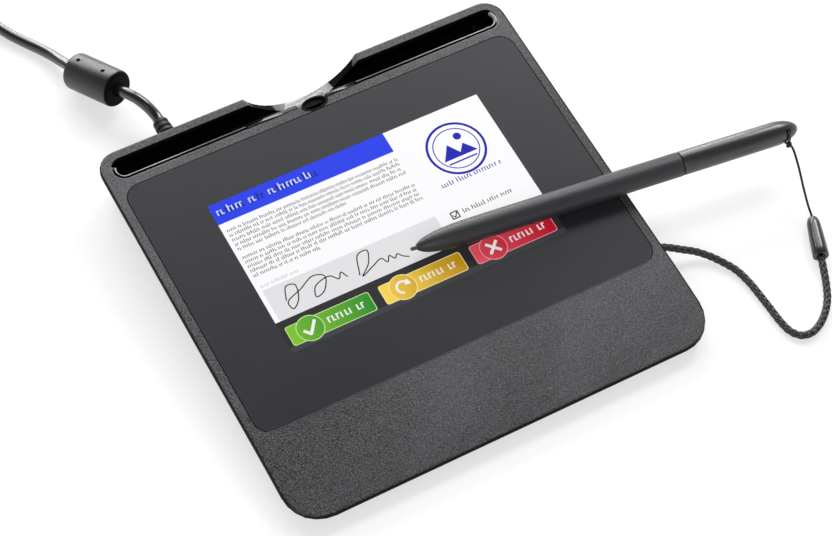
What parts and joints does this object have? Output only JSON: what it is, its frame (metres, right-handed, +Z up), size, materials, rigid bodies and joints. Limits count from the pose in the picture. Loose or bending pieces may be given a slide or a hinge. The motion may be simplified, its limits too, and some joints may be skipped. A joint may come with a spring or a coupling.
{
  "type": "signature pad",
  "caption": "Signature pad with a colour display, a pen tray and stand, a pen lying on the glass on a tether, and a wound data cable with a plug.",
  "frame": {"origin": "under the middle of the pad and pen together, at table height", "axes": "+X to the right of the person signing, +Y to the rear, +Z up"},
  "size_m": [0.3117, 0.339, 0.0225],
  "materials": {
    "housing": "fine spark grain",
    "base": "fine grain",
    "liner": "polished",
    "glass": "etched, low glare",
    "adhesive": "tape",
    "lcd": "display",
    "steel": "plated sheet",
    "diffuser": "light guide",
    "board": "coated laminate",
    "chip": "moulded",
    "film": "film",
    "frame": "moulded",
    "rubber": "satin",
    "cable": "semi-gloss jacket",
    "bead": "satin",
    "ferrite": "sintered",
    "plating": "plated",
    "braid": "woven",
    "pen_grip": "satin",
    "pen_cap": "semi-gloss",
    "nib": "satin",
    "copper": "enamelled wire"
  },
  "bodies": {
    "pad": {"upper_housing": "housing", "lower_housing": "base", "pen_tray": "liner", "cover_glass": "glass", "glass_tape": "adhesive", "lcd_panel": "lcd", "light_guide": "diffuser", "led_bar": "board", "lcd_tub": "steel", "sensor_board": "board", "shield_plate": "steel", "display_chassis": "frame", "main_board": "board", "cable_socket": "frame", "lcd_ribbon": "film", "sensor_ribbon": "film", "inner_wires": "cable", "cable_boot": "rubber", "cable_lead": "cable", "bead_cover": "bead", "bead_core": "ferrite", "cable_run": "cable", "cable_coil": "cable", "coil_tie": "rubber", "cable_tail": "cable", "plug_body": "rubber", "plug_shell": "plating", "plug_tongue": "diffuser", "tether_bush": "rubber", "tether_anchor": "steel", "tether_braid": "braid", "tether_coupler": "liner", "tether_string": "braid", "foot_front_left": "rubber", "foot_front_right": "rubber", "foot_rear_left": "rubber", "foot_rear_right": "rubber", "case_screw_front_left": "steel", "case_screw_front_right": "steel", "case_screw_middle_left": "steel", "case_screw_middle_right": "steel", "case_screw_rear_left": "steel", "case_screw_rear_right": "steel", "board_screw_1": "steel", "board_screw_2": "steel", "board_chip_1": "chip", "board_chip_2": "chip", "board_chip_3": "chip"},
    "pen": {"pen_barrel": "pen_grip", "pen_cap": "pen_cap", "pen_ferrite": "ferrite", "pen_winding": "copper", "pen_pressure_sensor": "frame", "pen_board": "board", "pen_carrier": "frame", "pen_loop": "braid"},
    "nib": {"pen_nib": "nib"}
  },
  "joints": [
    {"name": "pen_lift", "type": "slide", "parent": "pad", "child": "pen", "axis": [0, -0.0872, 0.9962], "range_m": [0, 0.08], "deforming": ["tether_braid", "tether_coupler", "tether_string"]},
    {"name": "nib_press", "type": "slide", "parent": "pen", "child": "nib", "axis": [0.9936, -0.1124, -0.0098], "range_m": [0, 0.0005], "stiffness_N_per_m": 300}
  ]
}
